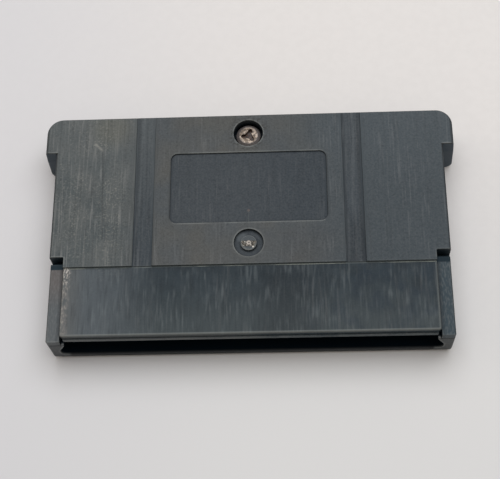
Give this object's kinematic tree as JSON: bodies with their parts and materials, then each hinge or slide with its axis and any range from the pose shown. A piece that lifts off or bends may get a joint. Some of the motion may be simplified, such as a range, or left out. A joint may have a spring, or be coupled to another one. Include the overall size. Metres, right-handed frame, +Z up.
{
  "type": "game cartridge",
  "caption": "flat moulded cartridge for a handheld game console: wide grip, open connector end between side rails, a screw in the back and a circuit board inside",
  "frame": {"origin": "centre of the bounding box's bottom face, on the surface that the cartridge lies on", "axes": "+X across the cartridge, along its longest side; +Y from the connector end to the grip end; +Z up from the front face to the back face, along its thickness"},
  "size_m": [0.0614, 0.0354, 0.0079],
  "materials": {
    "shell_plastic": "moulded ABS with a fine spark-eroded grain, dark grey, worn along its edges",
    "screw_steel": "plated steel, tarnished, with rust in the drive recess",
    "board_laminate": "glass-epoxy laminate under green solder mask",
    "gold_plate": "gold-plated copper, satin",
    "chip_epoxy": "moulded black epoxy",
    "tin_plate": "tin plate, satin",
    "capacitor_ceramic": "fired ceramic, tan",
    "resistor_glaze": "black glaze on ceramic"
  },
  "bodies": {
    "root": {"front_shell": "shell_plastic", "back_shell": "shell_plastic", "shell_screw": "screw_steel", "circuit_board": "board_laminate", "contact_fingers": "gold_plate", "rom_chip": "chip_epoxy", "rom_leads": "tin_plate", "save_chip": "chip_epoxy", "save_chip_leads": "tin_plate", "capacitor_ends": "tin_plate", "resistor_ends": "tin_plate", "capacitor_1": "capacitor_ceramic", "capacitor_2": "capacitor_ceramic", "capacitor_3": "capacitor_ceramic", "capacitor_4": "capacitor_ceramic", "capacitor_5": "capacitor_ceramic", "resistor_1": "resistor_glaze", "resistor_2": "resistor_glaze", "resistor_3": "resistor_glaze", "resistor_4": "resistor_glaze"}
  },
  "joints": []
}
